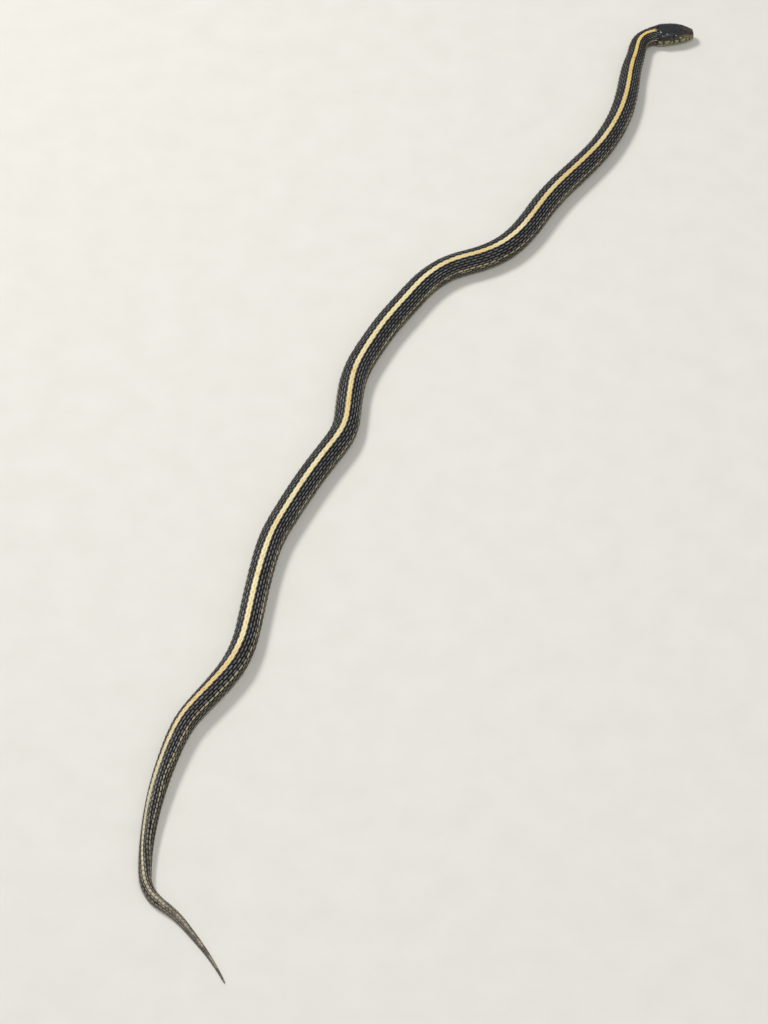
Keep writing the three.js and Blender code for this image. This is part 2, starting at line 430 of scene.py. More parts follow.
# %% The table of the surface
def spaced(head_step, body_step):
    """Distances from the snout to the tail tip, closer together in the domes and on the head."""
    snout_turn, tail_turn = np.linspace(0, np.pi / 2, 13), np.linspace(np.pi / 2, 0, 7)
    return np.concatenate(
        [
            SNOUT_DOME * (1 - np.cos(snout_turn)),
            np.arange(SNOUT_DOME + head_step, NAPE_ENDS, head_step),
            np.arange(NAPE_ENDS, SNAKE_LENGTH - TAIL_DOME, body_step),
            SNAKE_LENGTH - TAIL_DOME * (1 - np.cos(tail_turn)),
        ]
    )


stations = spaced(0.2, 1.0)
rows_of_table, lip_shares = [], []
for station in stations:
    outline, lips = section(max(station, SNOUT_DOME))
    if station < NAPE_ENDS:
        outline = fold_head(station, outline)
    centre = np.array([0, np.interp(station, [0, SNOUT_DOME], [2.6, 2.3])])
    if station < SNOUT_DOME:
        outline = centre + (outline - centre) * math.sin(math.acos(1 - station / SNOUT_DOME))
    if station > SNAKE_LENGTH - TAIL_DOME:
        left = (SNAKE_LENGTH - station) / TAIL_DOME
        closing = math.sqrt(max(1 - (1 - left) ** 2, 0))
        middle = np.array([0, outline[:, 1].max() * SECTION_MIDDLE])
        outline = middle + (outline - middle) * closing
    rows_of_table.append(outline)
    lip_shares.append(lips)
lip_shares = np.array(lip_shares)
right_half = np.array(rows_of_table)
left_half = right_half[:, :0:-1] * (-1, 1)
sections = np.concatenate([left_half, right_half], 1)
table_shares = np.linspace(-0.5, 0.5, 2 * HALF_POINTS + 1)
setback = JAW_SETBACK * np.exp(-stations / 2.0)[:, None] * smoothstep(
    0, 0.03, np.abs(table_shares)[None] - lip_shares[:, None]
)
surface = np.concatenate([(stations[:, None] + setback)[..., None], sections], 2)
outward = np.cross(np.gradient(surface, axis=0), np.gradient(surface, axis=1))
outward /= np.maximum(np.linalg.norm(outward, axis=2, keepdims=True), 1e-12)
outward[0] = (-1, 0, 0)
outward[-1] = (1, 0, 0)
print("table of", surface.shape[:2], "from", surface.min((0, 1)), "to", surface.max((0, 1)))


# %% [markdown]
# ## Finding a point on the snake
# The coat is as deep as the scales are: about a third of a millimetre on the back, less on the
# head and very little on the tail tip. Every later step asks one function for its points, by
# distance, share of the girth and height over the outer surface. A height below 0 is in the coat.


# %% Finding a point on the snake
COAT = 0.38
COAT_DEPTHS = np.array(
    [(14, 0.25), (34, COAT), (548, COAT), (608, 0.22), (655, 0.11), (SNAKE_LENGTH, 0.06)]
)


def coat_depth(distance):
    return np.interp(distance, COAT_DEPTHS[:, 0], COAT_DEPTHS[:, 1])


def read_table(table, distance, share):
    """The table at any distance and share of the girth, between its four nearest points."""
    share = (np.asarray(share) + 0.5) % 1.0
    row = np.interp(distance, stations, np.arange(len(stations)))
    column = share * 2 * HALF_POINTS
    top = np.minimum(row.astype(int), len(stations) - 2)
    first = np.minimum(column.astype(int), 2 * HALF_POINTS - 1)
    down, across = (row - top)[..., None], (column - first)[..., None]
    upper = table[top, first] * (1 - across) + table[top, first + 1] * across
    lower = table[top + 1, first] * (1 - across) + table[top + 1, first + 1] * across
    return upper * (1 - down) + lower * down


# The body is rolled to its left from 430 mm to the last bend, so the stripe runs near that edge.
# The roll is a share of the girth, and moves scales and markings alike.
ROLL = np.array(
    [
        (430, 0), (460, 0.02), (500, 0.023), (530, 0.05), (566, 0.092), (585, 0.112),
        (606, 0.095), (626, 0),
    ]
)


def rolled(distance, share):
    return share - eased(ROLL, distance, 1, GIRTH_EASE)


def on_snake(distance, share, height):
    """Points of the bent snake, in metres, at heights above the outer surface, in millimetres."""
    distance, share, height = np.broadcast_arrays(distance, share, height)
    share = rolled(distance, share)
    at = read_table(surface, distance, share)
    way = read_table(outward, distance, share)
    way = way / np.maximum(np.linalg.norm(way, axis=-1, keepdims=True), 1e-9)
    return lay(at + height[..., None] * way)


print("top of the head over the eyes:", on_snake(EYE_FROM_SNOUT, 0.0, 0.0) / MM)

# %% [markdown]
# ## The skin
# The skin is one closed tube. A flat grid is the simplest start, because its squares become the
# rings and rows of the tube and its own flat map is already the skin's unwrap. It is rolled round
# the snake, and the long edges and the two ends are then merged, so that nothing is left open.

# %% The skin
SKIN_AROUND = 96
skin_rings = spaced(0.25, 2.0)


def start_grid(name, across, along_it, length, width):
    """A flat grid with its own unwrap, to be shaped."""
    bpy.ops.object.select_all(action="DESELECT")
    bpy.ops.mesh.primitive_grid_add(
        x_subdivisions=across, y_subdivisions=along_it, size=1, calc_uvs=True
    )
    made = bpy.context.object
    made.name = name
    made.data.name = name
    bpy.ops.object.mode_set(mode="EDIT")
    bpy.ops.mesh.select_all(action="SELECT")
    bpy.ops.transform.resize(value=(length, width, 1))
    bpy.ops.object.mode_set(mode="OBJECT")
    return made


def choose(*pieces):
    """Selects these pieces and nothing else, and makes the last one active."""
    bpy.ops.object.select_all(action="DESELECT")
    for piece in pieces:
        piece.select_set(True)
    bpy.context.view_layer.objects.active = pieces[-1]


def get_points(mesh):
    flat = np.empty(len(mesh.vertices) * 3, np.float32)
    mesh.vertices.foreach_get("co", flat)
    return flat.reshape(-1, 3).astype(float)


def set_points(mesh, points):
    mesh.vertices.foreach_set("co", np.asarray(points, np.float32).ravel())
    mesh.update()


def set_vector(mesh, name, values):
    """Stores three numbers at each vertex, for the materials to read."""
    layer = mesh.attributes.new(name, "FLOAT_VECTOR", "POINT")
    layer.data.foreach_set("vector", np.asarray(values, np.float32).ravel())


def set_number(mesh, name, values):
    """Stores one number at each vertex."""
    layer = mesh.attributes.new(name, "FLOAT", "POINT")
    layer.data.foreach_set("value", np.asarray(values, np.float32))


skin = start_grid("snake_skin", len(skin_rings) - 1, SKIN_AROUND, 1, 1)
flat_points = get_points(skin.data)
ring_of = np.rint((flat_points[:, 0] + 0.5) * (len(skin_rings) - 1)).astype(int)
skin_distance, skin_share = skin_rings[ring_of], flat_points[:, 1]
set_points(skin.data, on_snake(skin_distance, skin_share, -coat_depth(skin_distance)))
set_vector(skin.data, "on_snake", np.stack([skin_distance, skin_share, 0 * skin_share], 1))
bpy.ops.object.mode_set(mode="EDIT")
bpy.ops.mesh.select_all(action="SELECT")
bpy.ops.mesh.remove_doubles(threshold=1e-7)
bpy.ops.object.mode_set(mode="OBJECT")
bpy.ops.object.shade_smooth()
print("skin:", len(skin.data.polygons), "faces")

# %% [markdown]
# ## One keeled scale
# A garter snake's back scale is a long leaf of horn with a ridge, the keel, down its middle. It is
# fixed at its front end, lies over the next ones like a roof tile, and its tip stands a little
# free. One is shaped here: a small grid whose columns are drawn together for the keel, whose rows
# are drawn in for the outline, and which is then extruded for its thickness. Its length is counted
# in steps from scale to scale and its width in rows, because both change down the body.


# %% Shaping a scale
def pick(piece, chosen, kind="VERT"):
    """Selects points or faces in code and enters edit mode."""
    bpy.ops.object.mode_set(mode="EDIT")
    bpy.ops.mesh.select_mode(type=kind)
    bpy.ops.mesh.select_all(action="DESELECT")
    bpy.ops.object.mode_set(mode="OBJECT")
    parts = piece.data.vertices if kind == "VERT" else piece.data.polygons
    parts.foreach_set("select", np.asarray(chosen, bool))
    bpy.ops.object.mode_set(mode="EDIT")


def thicken(piece, thickness):
    """Extrudes a sheet upwards, and joins the faces of its underside into one."""
    bpy.ops.object.mode_set(mode="EDIT")
    bpy.ops.mesh.select_all(action="SELECT")
    bpy.ops.mesh.extrude_region_move(TRANSFORM_OT_translate={"value": (0, 0, thickness)})
    bpy.ops.object.mode_set(mode="OBJECT")
    way = np.empty(len(piece.data.polygons) * 3, np.float32)
    piece.data.polygons.foreach_get("normal", way)
    pick(piece, way.reshape(-1, 3)[:, 2] < -0.5, "FACE")
    bpy.ops.mesh.dissolve_faces()
    bpy.ops.mesh.select_mode(type="VERT")
    bpy.ops.object.mode_set(mode="OBJECT")


# Each row: its place in steps, its half width in rows, and how far it stands off the skin.
SCALE_ROWS = [
    (-0.75, 0.30, 0.00),
    (-0.42, 0.52, 0.06),
    (-0.08, 0.63, 0.11),
    (0.26, 0.56, 0.17),
    (0.54, 0.34, 0.22),
    (0.76, 0.06, 0.25),
]
SCALE_THICKNESS = 0.07
# Each column: how far it is off the middle, how far it is drawn in, and how far it drops.
SCALE_COLUMNS = ((1 / 3, 0.45, 0.0), (2 / 3, 0.9, -0.01), (1.0, 1.0, -0.06))
KEEL_STARTS = -0.4


def shape_scale(name, keel):
    """One scale, with a keel of a height in millimetres."""
    piece = start_grid(name, len(SCALE_ROWS) - 1, 6, 1.5, 2)
    points = get_points(piece.data)
    off_middle = np.abs(points[:, 1])
    for column, squeeze, drop in SCALE_COLUMNS:
        pick(piece, np.abs(off_middle - column) < 0.1)
        bpy.ops.transform.resize(value=(1, squeeze, 1))
        bpy.ops.transform.translate(value=(0, 0, drop))
    places = np.linspace(-0.75, 0.75, len(SCALE_ROWS))
    for place, (to, half, rise) in zip(places, SCALE_ROWS):
        pick(piece, np.abs(points[:, 0] - place) < 0.1)
        bpy.ops.transform.resize(value=(1, half, 1))
        bpy.ops.transform.translate(value=(to - place, 0, rise))
    pick(piece, (off_middle < 0.1) & (points[:, 0] > KEEL_STARTS))
    bpy.ops.transform.translate(value=(0, 0, keel))
    bpy.ops.object.mode_set(mode="OBJECT")
    thicken(piece, SCALE_THICKNESS)
    return piece


keeled_scale = shape_scale("keeled_scale", 0.13)
smooth_scale = shape_scale("smooth_scale", 0.02)
print("one scale:", len(keeled_scale.data.polygons), "faces")

# %% [markdown]
# ## One belly scute
# The scutes under the belly are single wide plates, one to each ring of scales, which the snake
# grips the ground with. They are smooth, and each one's rear edge lies over the next. The same
# grid start serves: more columns so that it can bend round the belly, and a rear edge that curves
# back in the middle.

# %% Shaping a scute
SCUTE_COLUMNS = 16
# Each row: its place in steps, how far it stands off the skin, and how far it is pushed back.
SCUTE_ROWS = [
    (-0.75, 0.0, 0.06),
    (-0.375, 0.06, 0.02),
    (0.0, 0.12, 0),
    (0.375, 0.17, 0.0),
    (0.75, 0.21, -0.1),
]
belly_scute = start_grid("belly_scute", 4, SCUTE_COLUMNS, 1.5, 2)
scute_points = get_points(belly_scute.data)
for place, rise, back in SCUTE_ROWS:
    pick(belly_scute, np.abs(scute_points[:, 0] - place) < 0.05)
    bpy.ops.transform.translate(value=(back, 0, rise))
pick(belly_scute, np.abs(scute_points[:, 1]) > 0.99)
bpy.ops.transform.resize(value=(0.72, 1, 1))
bpy.ops.transform.translate(value=(0, 0, -0.06))
bpy.ops.object.mode_set(mode="OBJECT")
thicken(belly_scute, SCALE_THICKNESS)
print("one scute:", len(belly_scute.data.polygons), "faces")


# %% [markdown]
# ## Copies along the body
# Each copy of a scale is its own mesh, bent onto the snake point by point, and the copies of a row
# group are joined into one piece, because thousands of objects would be slow to draw. Each scale
# also gets a small patch of its own on the piece's map, at the place where it is rooted.


# %% Joining copies
def read_model(piece):
    """The points and faces of a finished model, its underside first."""
    mesh = piece.data
    faces = sorted((list(face.vertices) for face in mesh.polygons), key=len, reverse=True)
    model = {"points": get_points(mesh), "faces": faces}
    bpy.data.objects.remove(piece)
    return model


SHARP_EDGE = math.radians(34)


def build_mesh(name, places, model_faces, snake_values, scale_values, patches, roots, rows=None):
    """Joins copies: places, values and patches are given as (copy, point, number)."""
    count, size = places.shape[:2]
    mesh = bpy.data.meshes.new(name)
    loops = np.concatenate(model_faces)
    sizes = np.array([len(face) for face in model_faces])
    starts = np.concatenate([[0], np.cumsum(sizes)[:-1]])
    shift = np.arange(count)[:, None]
    all_loops = (loops[None] + shift * size).ravel()
    mesh.vertices.add(count * size)
    mesh.loops.add(len(all_loops))
    mesh.polygons.add(count * len(sizes))
    mesh.vertices.foreach_set("co", places.astype(np.float32).ravel())
    mesh.loops.foreach_set("vertex_index", all_loops.astype(np.int32))
    mesh.polygons.foreach_set(
        "loop_start", (starts[None] + shift * len(loops)).ravel().astype(np.int32)
    )
    mesh.update(calc_edges=True)
    set_vector(mesh, "on_snake", snake_values)
    set_vector(mesh, "on_scale", scale_values)
    if rows is not None:
        set_number(mesh, "row", np.repeat(rows, size))
    layer = mesh.uv_layers.new(name="OFBake")
    at = (roots[:, None] + patches).reshape(-1, 2)[all_loops]
    layer.uv.foreach_set("vector", at.astype(np.float32).ravel())
    mesh.validate()
    piece = bpy.data.objects.new(name, mesh)
    bpy.context.scene.collection.objects.link(piece)
    choose(piece)
    bpy.ops.object.shade_smooth_by_angle(angle=SHARP_EDGE)
    mesh.calc_loop_triangles()
    print(name, "copies", count, "triangles", len(mesh.loop_triangles))
    return piece


def spread(shape, *values):
    """Values for each point of each copy, stacked for build_mesh."""
    return np.stack([np.broadcast_to(value, shape) for value in values], 2)


PATCH, UNDERSIDE_PATCH = 0.0036, 1.15


def patches_of(model, count):
    """Each point's place on its scale's patch. The underside's rim lies just outside the top's."""
    flat = model["points"][:, :2]
    flat = flat / np.abs(flat).max(0)
    underside = sorted(set(model["faces"][0]))
    flat[underside] *= UNDERSIDE_PATCH
    return np.broadcast_to(flat * PATCH / 2, (count, len(flat), 2))


# %% [markdown]
# ## Rings and rows
# A garter snake has 19 rows of scales at mid-body, one scale in each row to every belly scute, and
# about 168 scutes to the vent. Towards the tail the rows run out one pair at a time: a row narrows
# to nothing and its neighbours close over it. The scales of odd rows sit half a step further back,
# which gives the slanting lines that the eye follows down the side.

# %% Where the rings and rows lie
SCALE_STEPS = np.array(
    [
        (16, 2.0), (44, 2.5), (85, 3.15), (125, 3.45), (508, 3.45), (568, 2.95), (612, 2.4),
        (655, 1.7), (681, 1.2),
    ]
)
DORSAL_SHARE = 0.3488
ROW_WIDTHS = np.array([1, 1, 1, 1, 1, 1, 1, 1, 1.2, 1.4])
ROW_ENDS = {5: 438, 4: 568, 8: 582, 3: 598, 7: 614, 2: 636, 6: 662}
ROW_RUN_OUT = 12
ROW_STARTS = [19.3, 19.3, 18.9, 18.6, 20.6, 20.9, 21.2, 21.4, 21.5, 21.5]
VENT = 576
FIRST_RING, LAST_SCALE = 16.0, SNAKE_LENGTH - 3.2
random = np.random.default_rng(7)


def step_at(distance):
    """The step from scale to scale at a distance behind the snout."""
    return np.interp(distance, SCALE_STEPS[:, 0], SCALE_STEPS[:, 1])


rings = [FIRST_RING]
while rings[-1] < SNAKE_LENGTH - 3:
    rings.append(rings[-1] + step_at(rings[-1]))
rings = np.array(rings)
width_table = np.tile(ROW_WIDTHS, (len(stations), 1))
for row, end in ROW_ENDS.items():
    width_table[:, row] *= 1 - smoothstep(end - ROW_RUN_OUT, end, stations)
half_total = width_table.sum(1) - width_table[:, 0] / 2
width_table *= (DORSAL_SHARE / half_total)[:, None]
middle_table = np.cumsum(width_table, 1) - width_table / 2 - width_table[:, :1] / 2
print("rings:", len(rings), "to the vent:", int((rings < VENT).sum()))


def row_read(table, row, distance):
    return np.interp(distance, stations, table[:, row])


def tell_skin_its_rows():
    """Gives each point of the skin its number of rows from the middle of the back."""
    layer = skin.data.attributes["on_snake"]
    values = np.empty(len(layer.data) * 3, np.float32)
    layer.data.foreach_get("vector", values)
    values = values.reshape(-1, 3)
    values[:, 2] = np.abs(values[:, 1]) / row_read(width_table, 0, values[:, 0])
    layer.data.foreach_set("vector", values.ravel())


tell_skin_its_rows()

# %% [markdown]
# ## The scales of the back and the flanks
# No two scales are quite alike, so each copy is a few hundredths longer or shorter, turned and
# tipped. On the outside of a bend they stand apart and on the inside they crowd, as the skin
# does. The back and each flank are pieces of their own, to keep every piece light.


# %% The scales of the back and the flanks
def bend_stretch(distance, share):
    """How much longer the body is on the outside of a bend, and shorter on the inside."""
    turning = (heading(distance + 1) - heading(distance - 1)) / 2
    right = read_table(surface, distance, rolled(distance, share))[..., 1]
    return np.clip(1 - right * turning, 0.5, 1.8)


NARROWEST_SCALE, CROWDING, TIP_CLEARANCE = 0.45, -0.7, 0.3
LENGTH_PLAY, YAW_PLAY, LIFT_PLAY = 0.03, 0.035, 0.018


def lay_scales(name, rows, model):
    """One piece of scales: the copies of a model in some rows, negative ones on the left."""
    centres, row_list = [], []
    for row in rows:
        at = rings + (abs(row) % 2) * step_at(rings) / 2
        width = row_read(width_table, abs(row), at)
        full = DORSAL_SHARE / half_total.max() * ROW_WIDTHS[abs(row)]
        kept = (at > ROW_STARTS[abs(row)]) & (width > NARROWEST_SCALE * full) & (at < LAST_SCALE)
        centres.append(at[kept])
        row_list.append(np.full(kept.sum(), row))
    at, row = np.concatenate(centres), np.concatenate(row_list)
    count, points = len(at), model["points"]
    middle, width = np.empty(count), np.empty(count)
    for each in set(row):
        here = row == each
        middle[here] = np.sign(each) * row_read(middle_table, abs(each), at[here])
        width[here] = row_read(width_table, abs(each), at[here])
    lengthen = random.normal(1, LENGTH_PLAY, count) * bend_stretch(at, middle) ** CROWDING
    yaw = random.normal(0, YAW_PLAY, count)
    lift = random.normal(0, LIFT_PLAY, count)
    distance = at[:, None] + points[None, :, 0] * (step_at(at) * lengthen)[:, None]
    distance = distance.clip(0, SNAKE_LENGTH - TIP_CLEARANCE)
    share = np.empty_like(distance)
    for each in set(row):
        here = row == each
        share[here] = np.sign(each) * row_read(middle_table, abs(each), distance[here])
    share += (points[None, :, 1] + yaw[:, None] * points[None, :, 0]) * width[:, None]
    depth = coat_depth(at)[:, None]
    tipped = lift[:, None] * (points[None, :, 0] + 0.75)
    height = (points[None, :, 2] + tipped) * depth / COAT - depth
    tone = random.uniform(0, 1, count)[:, None]
    rows_off = np.abs(row[:, None] + points[None, :, 1])
    over_rows = (middle - middle.min()) / np.ptp(middle)
    roots = np.stack([0.01 + 0.98 * at / SNAKE_LENGTH, 0.02 + 0.96 * over_rows], 1)
    return build_mesh(
        name,
        on_snake(distance, share, height),
        model["faces"],
        spread(distance.shape, distance, share, rows_off),
        spread(distance.shape, points[:, 0], points[:, 1], tone),
        patches_of(model, count),
        roots,
        np.abs(row),
    )


keeled = read_model(keeled_scale)
back_scales = lay_scales("scales_of_the_back", range(-3, 4), keeled)
right_scales = lay_scales("scales_of_the_right_flank", range(4, 10), keeled)
left_scales = lay_scales("scales_of_the_left_flank", range(-9, -3), keeled)

# %% [markdown]
# ## Belly and underside of the tail
# From the throat to the vent each ring has one scute. Behind the vent they lie in two rows, left
# and right in turn.

# %% The scutes
def lay_plates(name, model, at, middles, lengths, half_shares, rows_off, roots, patches):
    """Smooth plates at distances from the snout, each over a share of the girth."""
    points = model["points"]
    distance = at[:, None] + points[None, :, 0] * lengths[:, None]
    share = middles[:, None] + points[None, :, 1] * half_shares[:, None]
    depth = coat_depth(at)[:, None]
    height = points[None, :, 2] * depth / COAT - depth
    tone = random.uniform(0, 1, len(at))[:, None]
    return build_mesh(
        name,
        on_snake(distance, share, height),
        model["faces"],
        spread(distance.shape, distance, (share + 0.5) % 1 - 0.5, rows_off),
        spread(distance.shape, points[:, 0], points[:, 1], tone),
        patches,
        roots,
    )


SCUTE_LENGTH, SCUTE_LAP, SCUTE_PATCH = 0.86, 1.04, 30
SCUTE_ROW, THROAT_SCALE_ROW, SHIELD_ROW = 10.0, 11.0, 20.0
BELLY_SHARE = 0.5 - DORSAL_SHARE
THROAT_ENDS = 22.4
scute = read_model(belly_scute)
belly_rings = rings[(rings > THROAT_ENDS) & (rings < VENT + 2)]
tail_rings = rings[(rings > VENT + 2) & (rings < SNAKE_LENGTH - 3)]
scute_places = np.concatenate([belly_rings, tail_rings, tail_rings + step_at(tail_rings) / 2])
side_of = np.concatenate([0 * belly_rings, tail_rings * 0 - 1, tail_rings * 0 + 1])
scute_middles = 0.5 + side_of * BELLY_SHARE / 2
scute_halves = np.where(side_of == 0, BELLY_SHARE, BELLY_SHARE / 2) * SCUTE_LAP
over_belly = 0.1 + 0.8 * (scute_middles - 0.35) / 0.3
belly = lay_plates(
    "belly_scutes",
    scute,
    scute_places,
    scute_middles,
    SCUTE_LENGTH * step_at(scute_places),
    scute_halves,
    SCUTE_ROW,
    np.stack([0.01 + 0.98 * scute_places / SNAKE_LENGTH, over_belly], 1),
    patches_of(scute, len(scute_places)) * (1, SCUTE_PATCH),
)

# %% [markdown]
# ## The shields of the head
# The head has no small scales on top but large smooth shields that meet in fine grooves: a pair
# over the snout, a pair before the eyes, one between the eyes, one over each eye, and the two big
# ones behind. Lip shields run along both jaws. Each shield is cut out of a small flat grid, one
# straight cut for each edge, with a second cut just inside it where the rim rounds down. It is
# then thickened and laid on the head.
# A corner of an outline is given by its distance from the snout and its share of the way from the
# crown to the lips, or from the middle of the chin to the lips.

# %% Outlines of the shields
UPPER_SPAN, LOWER_SPAN = 9.6, 6.5
UPPER_SHIELDS = {
    "internasal": [(1.85, 0), (4.3, 0), (4.4, 0.36), (2.9, 0.4), (1.75, 0.3)],
    "prenasal": [(1.75, 0.3), (2.9, 0.4), (2.85, 0.7), (1.45, 0.7)],
    "postnasal": [(2.9, 0.4), (4.4, 0.36), (4.35, 0.7), (2.85, 0.7)],
    "prefrontal": [(4.3, 0), (7.2, 0), (7.7, 0.16), (7.5, 0.38), (6.3, 0.46), (4.4, 0.36)],
    "loreal": [(4.4, 0.36), (6.3, 0.46), (6.5, 0.7), (4.35, 0.7)],
    "preocular": [(6.3, 0.46), (7.5, 0.38), (10.4, 0.47), (10.4, 0.75), (6.5, 0.7)],
    "supraocular": [(7.7, 0.16), (12.2, 0.13), (12.6, 0.4), (10.4, 0.47), (7.5, 0.38)],
    "parietal": [
        (13.6, 0), (19.0, 0), (19.4, 0.08), (18.4, 0.3), (17.2, 0.37), (14.0, 0.43),
        (12.6, 0.4), (12.2, 0.13),
    ],
    "postocular_upper": [(10.4, 0.47), (12.6, 0.4), (14.0, 0.43), (13.9, 0.55), (10.4, 0.55)],
    "postocular_middle": [(10.4, 0.55), (13.9, 0.55), (13.8, 0.67), (10.4, 0.67)],
    "postocular_lower": [(10.4, 0.67), (13.8, 0.67), (13.4, 0.8), (10.4, 0.75)],
    "temporal_front": [(14.0, 0.43), (17.2, 0.37), (17.4, 0.66), (13.8, 0.67)],
    "temporal_upper": [(17.2, 0.37), (18.4, 0.3), (20.6, 0.33), (20.8, 0.5), (17.3, 0.52)],
    "temporal_lower": [(17.3, 0.52), (20.8, 0.5), (21.0, 0.66), (17.4, 0.66)],
    "lip_1": [(1.45, 0.7), (2.85, 0.7), (2.9, 1), (1.0, 1)],
    "lip_2": [(2.85, 0.7), (4.35, 0.7), (4.9, 1), (2.9, 1)],
    "lip_3": [(4.35, 0.7), (6.5, 0.7), (8.6, 0.727), (8.4, 1), (4.9, 1)],
    "lip_4": [(8.6, 0.727), (10.4, 0.75), (11.6, 0.77), (11.5, 1), (8.4, 1)],
    "lip_5": [(11.6, 0.77), (13.4, 0.8), (14.0, 1), (11.5, 1)],
    "lip_6": [(13.4, 0.8), (13.8, 0.67), (17.4, 0.66), (17.5, 1), (14.0, 1)],
    "lip_7": [(17.4, 0.66), (21.0, 0.66), (21.3, 0.85), (20.8, 1), (17.5, 1)],
}
UPPER_MIDDLE_SHIELDS = {
    "rostral": [(0, 1), (1.0, 1), (1.45, 0.7), (1.75, 0.3), (1.85, 0)],
    "frontal": [(7.2, 0), (7.7, 0.16), (12.2, 0.13), (13.6, 0)],
}
LOWER_SHIELDS = {
    "jaw_1": [(0.9, 1), (2.2, 1), (2.38, 0.6), (2.65, 0), (1.7, 0)],
    "chin_front": [(2.65, 0), (7.1, 0), (7.1, 0.44), (5.2, 0.6), (2.38, 0.6)],
    "chin_rear": [(7.1, 0), (12.5, 0), (12.5, 0.2), (9.9, 0.45), (7.1, 0.44)],
}
LOWER_MIDDLE_SHIELDS = {"mental": [(0, 1), (0.9, 1), (1.7, 0)]}
JAW_LIP_ENDS = [2.2, 3.7, 5.3, 7.1, 9.5, 12.2, 14.7, 17.1, 19.2, 21.0]
JAW_LIP_INNER = [0.6, 0.6, 0.59, 0.44, 0.45, 0.4, 0.45, 0.5, 0.55, 0.6]
for number in range(len(JAW_LIP_ENDS) - 1):
    start, end = JAW_LIP_ENDS[number : number + 2]
    inner, next_inner = JAW_LIP_INNER[number : number + 2]
    LOWER_SHIELDS[f"jaw_{number + 2}"] = [(start, 1), (end, 1), (end, next_inner), (start, inner)]

print("shields drawn for one side:", len(UPPER_SHIELDS) + len(LOWER_SHIELDS))

# %% [markdown]
# ## Cutting and laying the shields
# A straight cut through a flat grid keeps the faces small and even on both sides of it, so the
# plate can still bend over the head. The eye and the nostril are bored through the flat plates
# before they are laid, which is far simpler than cutting them on the curved head.

# %% Cutting and laying the shields
SUTURE = 0.022
RIM = 0.13
SHIELD_CELL = 0.42
NOSTRIL = (2.87, 0.54, 0.27)
UNDERSIDE_REACH = 1.06
REAR_SINKS, REAR_OF_CROWN = 0.2, (16.8, 21.0)
EYE_CLEARANCE = 0.04
ROUND_THE_EYE = ("preocular", "supraocular", "postocular", "lip_3", "lip_4", "lip_5")


def cut_shield(corners):
    """A plate within an outline, a half groove inside it, as a closed solid on the flat."""
    middle = corners.mean(0)
    low, high = corners.min(0), corners.max(0)
    cells = np.maximum(np.ceil((high - low) / SHIELD_CELL), 2).astype(int)
    piece = start_grid("shield", int(cells[0]), int(cells[1]), high[0] - low[0], high[1] - low[1])
    bpy.ops.object.mode_set(mode="EDIT")
    centre = (low + high) / 2
    bpy.ops.transform.translate(value=(centre[0], centre[1], 0))
    edges = []
    for here, there in zip(corners, np.roll(corners, -1, 0)):
        outwards = np.array([there[1] - here[1], here[0] - there[0]])
        outwards /= np.linalg.norm(outwards)
        outwards *= np.sign(outwards @ (here - middle))
        edges.append((here - outwards * SUTURE, outwards))
    for inside, clear in ((0, True), (RIM, False)):
        for point, outwards in edges:
            at = point - outwards * inside
            bpy.ops.mesh.select_all(action="SELECT")
            bpy.ops.mesh.bisect(
                plane_co=(at[0], at[1], 0),
                plane_no=(outwards[0], outwards[1], 0),
                clear_outer=clear,
                threshold=1e-5,
            )
    bpy.ops.object.mode_set(mode="OBJECT")
    thicken(piece, 1.0)
    return piece, edges


def bore(piece, outline):
    """Cuts a hole with an outline out of a flat plate, as a drill would."""
    bpy.ops.object.select_all(action="DESELECT")
    bpy.ops.mesh.primitive_cylinder_add(vertices=len(outline), radius=1, depth=4)
    drill = bpy.context.object
    corners = get_points(drill.data)
    turn = np.arctan2(corners[:, 0], corners[:, 1])
    number = np.rint(turn * len(outline) / (2 * math.pi)).astype(int) % len(outline)
    set_points(drill.data, np.column_stack([outline[number], corners[:, 2]]))
    choose(piece)
    cut = piece.modifiers.new("hole", "BOOLEAN")
    cut.object, cut.operation = drill, "DIFFERENCE"
    bpy.ops.object.modifier_apply(modifier=cut.name)
    bpy.data.objects.remove(drill)


def nostril_outline(side):
    turns = side * np.linspace(0, 2 * math.pi, 16, endpoint=False)
    middle = (NOSTRIL[0], side * NOSTRIL[1] * UPPER_SPAN)
    return middle + NOSTRIL[2] * np.stack([np.sin(turns), np.cos(turns)], 1) * (1, side)


def eye_outline(side):
    """The eye's opening on the flat: a circle round the eye, found again on the head's side."""
    outline, reach = [], EYE_OPENING + EYE_CLEARANCE
    for turn in side * np.linspace(0, 2 * math.pi, 36, endpoint=False):
        distance = EYE_FROM_SNOUT + reach * math.sin(turn)
        wanted = EYE_HEIGHT - reach * math.cos(turn)
        row = int(np.abs(stations - distance).argmin())
        flank = (right_half[row, :, 1] > LIP_HEIGHT) & (right_half[row, :, 0] > 1.5)
        heights, shares_there = right_half[row, flank, 1], arc_shares[flank]
        share = np.interp(-wanted, -heights, shares_there)
        outline.append((distance, side * UPPER_SPAN * share / lip_shares[row]))
    return np.array(outline)


